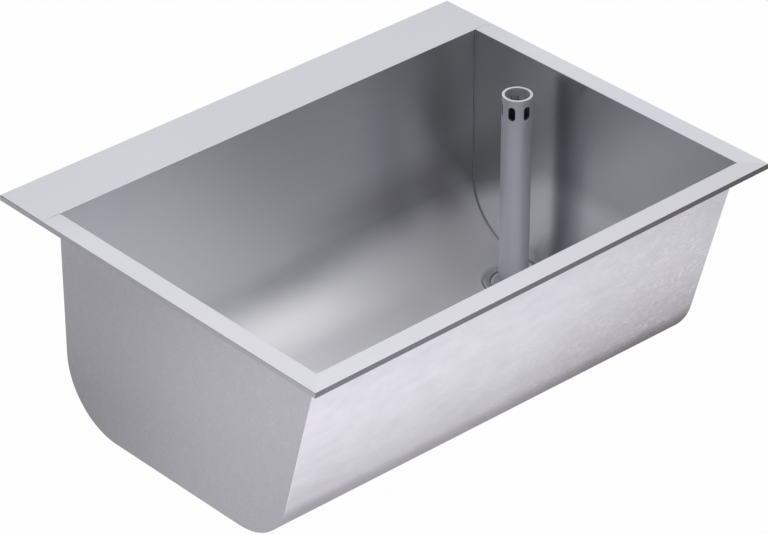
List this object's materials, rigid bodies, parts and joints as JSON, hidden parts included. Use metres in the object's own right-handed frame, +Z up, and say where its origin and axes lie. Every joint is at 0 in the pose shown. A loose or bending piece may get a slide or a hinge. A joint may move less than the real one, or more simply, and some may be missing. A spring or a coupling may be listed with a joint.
{
  "type": "mop service sink",
  "caption": "Inset steel utility sink with a sheet bowl, slanted front wall, wide back ledge and a lift-out overflow standpipe over its corner waste.",
  "frame": {"origin": "middle of the rim's length and width, in the plane of the sealing strip's underside, which lies on the worktop", "axes": "+X along the rim towards the waste, +Y from the slanted front wall towards the wide back ledge, +Z up out of the bowl"},
  "size_m": [0.65, 0.5044, 0.3335],
  "materials": {
    "satin_steel": "satin",
    "brushed_bowl": "fine brushed",
    "plain_steel": "mill finish",
    "tube_steel": "satin",
    "waste_chrome": "polished",
    "nut_brass": "turned",
    "soft_rubber": "matt",
    "pad_rubber": "matt",
    "grey_plastic": "matt"
  },
  "bodies": {
    "sink": {"rim_back": "satin_steel", "rim_front": "satin_steel", "rim_left": "satin_steel", "rim_right": "satin_steel", "bowl_wrap": "brushed_bowl", "end_plate_left": "brushed_bowl", "end_plate_right": "brushed_bowl", "seal_strip": "soft_rubber", "ledge_stiffener": "plain_steel", "sound_pad": "pad_rubber", "earth_tag": "plain_steel", "waste_body": "waste_chrome", "strainer": "plain_steel", "flange_gasket": "soft_rubber", "under_gasket": "soft_rubber", "slip_washer": "grey_plastic", "lock_nut": "nut_brass"},
    "seal_ring": {"plug_seal": "soft_rubber"},
    "standpipe": {"standpipe_plug": "grey_plastic", "standpipe_tube": "tube_steel"}
  },
  "joints": [
    {"name": "standpipe_lift", "type": "slide", "parent": "sink", "child": "seal_ring", "axis": [0, 0, 1], "range_m": [0, 0.3]},
    {"name": "standpipe_turn", "type": "hinge", "parent": "seal_ring", "child": "standpipe", "pos_m": [0.2575, 0.06475, -0.264], "axis": [0, 0, 1], "continuous": true}
  ]
}
